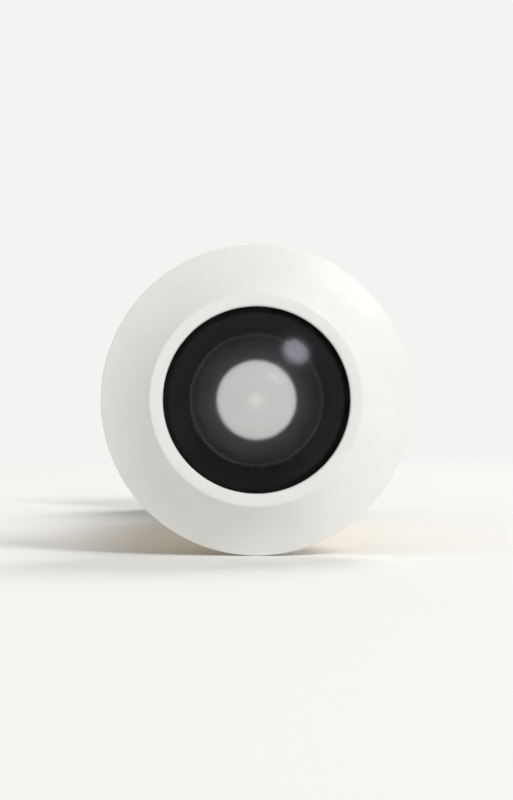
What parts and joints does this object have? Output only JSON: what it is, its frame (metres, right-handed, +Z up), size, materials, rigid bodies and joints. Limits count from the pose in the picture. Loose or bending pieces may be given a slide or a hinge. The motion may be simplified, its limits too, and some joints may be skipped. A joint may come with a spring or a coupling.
{
  "type": "door viewer",
  "caption": "Wide-angle door viewer: lens barrel with a round white flange and domed front lens, screwed through the door to an eyepiece barrel with a knurled flange and swinging cover.",
  "frame": {"origin": "on the optical axis, in the plane where the outer gasket meets the door's outside face", "axes": "+Y along the optical axis into the room, +Z up, +X to the right seen from outside"},
  "size_m": [0.0244, 0.0819, 0.0246],
  "materials": {
    "coated_brass": "white powder coat on turned brass",
    "gasket_rubber": "matt black rubber",
    "optical_glass": "polished clear glass",
    "black_plastic": "matt black moulded plastic",
    "blackened_brass": "chemically blackened brass",
    "spring_steel": "plain spring steel",
    "coated_rosette": "white powder coat on pressed steel",
    "nylon": "natural nylon",
    "nickelled_brass": "satin nickel plate on turned brass"
  },
  "bodies": {
    "outer_unit": {"outer_barrel": "coated_brass", "outer_gasket": "gasket_rubber", "front_lens": "optical_glass", "lens_seal": "gasket_rubber", "objective_cell": "black_plastic", "second_lens": "optical_glass", "lens_spacer": "black_plastic", "third_lens": "optical_glass", "lens_snap_ring": "spring_steel", "cell_lock_ring": "blackened_brass"},
    "rosette_unit": {"inner_rosette": "coated_rosette", "rosette_gasket": "gasket_rubber", "slip_washer": "nylon"},
    "eyepiece_unit": {"inner_barrel": "nickelled_brass", "field_stop": "black_plastic", "eyepiece_lens": "optical_glass", "eyepiece_retainer": "blackened_brass", "pivot_rivet": "spring_steel", "pivot_washer": "nylon", "pivot_spring": "spring_steel", "cover_stop_pin": "spring_steel"},
    "cover_unit": {"cover_flap": "nickelled_brass"}
  },
  "joints": [
    {"name": "door_grip", "type": "slide", "parent": "outer_unit", "child": "rosette_unit", "axis": [0, 1, 0], "range_m": [-0.012, 0.013]},
    {"name": "eyepiece_screw", "type": "hinge", "parent": "rosette_unit", "child": "eyepiece_unit", "pos_m": [0, 0.0701, 0], "axis": [0, 1, 0], "range_deg": [-2880, 3120]},
    {"name": "cover_swing", "type": "hinge", "parent": "eyepiece_unit", "child": "cover_unit", "pos_m": [0, 0.0738, 0.007], "axis": [0, 1, 0], "range_deg": [0, 92]}
  ],
  "couplings": [
    {"joint": "eyepiece_screw", "follows": "door_grip", "rad_per_m": 4188.8}
  ]
}
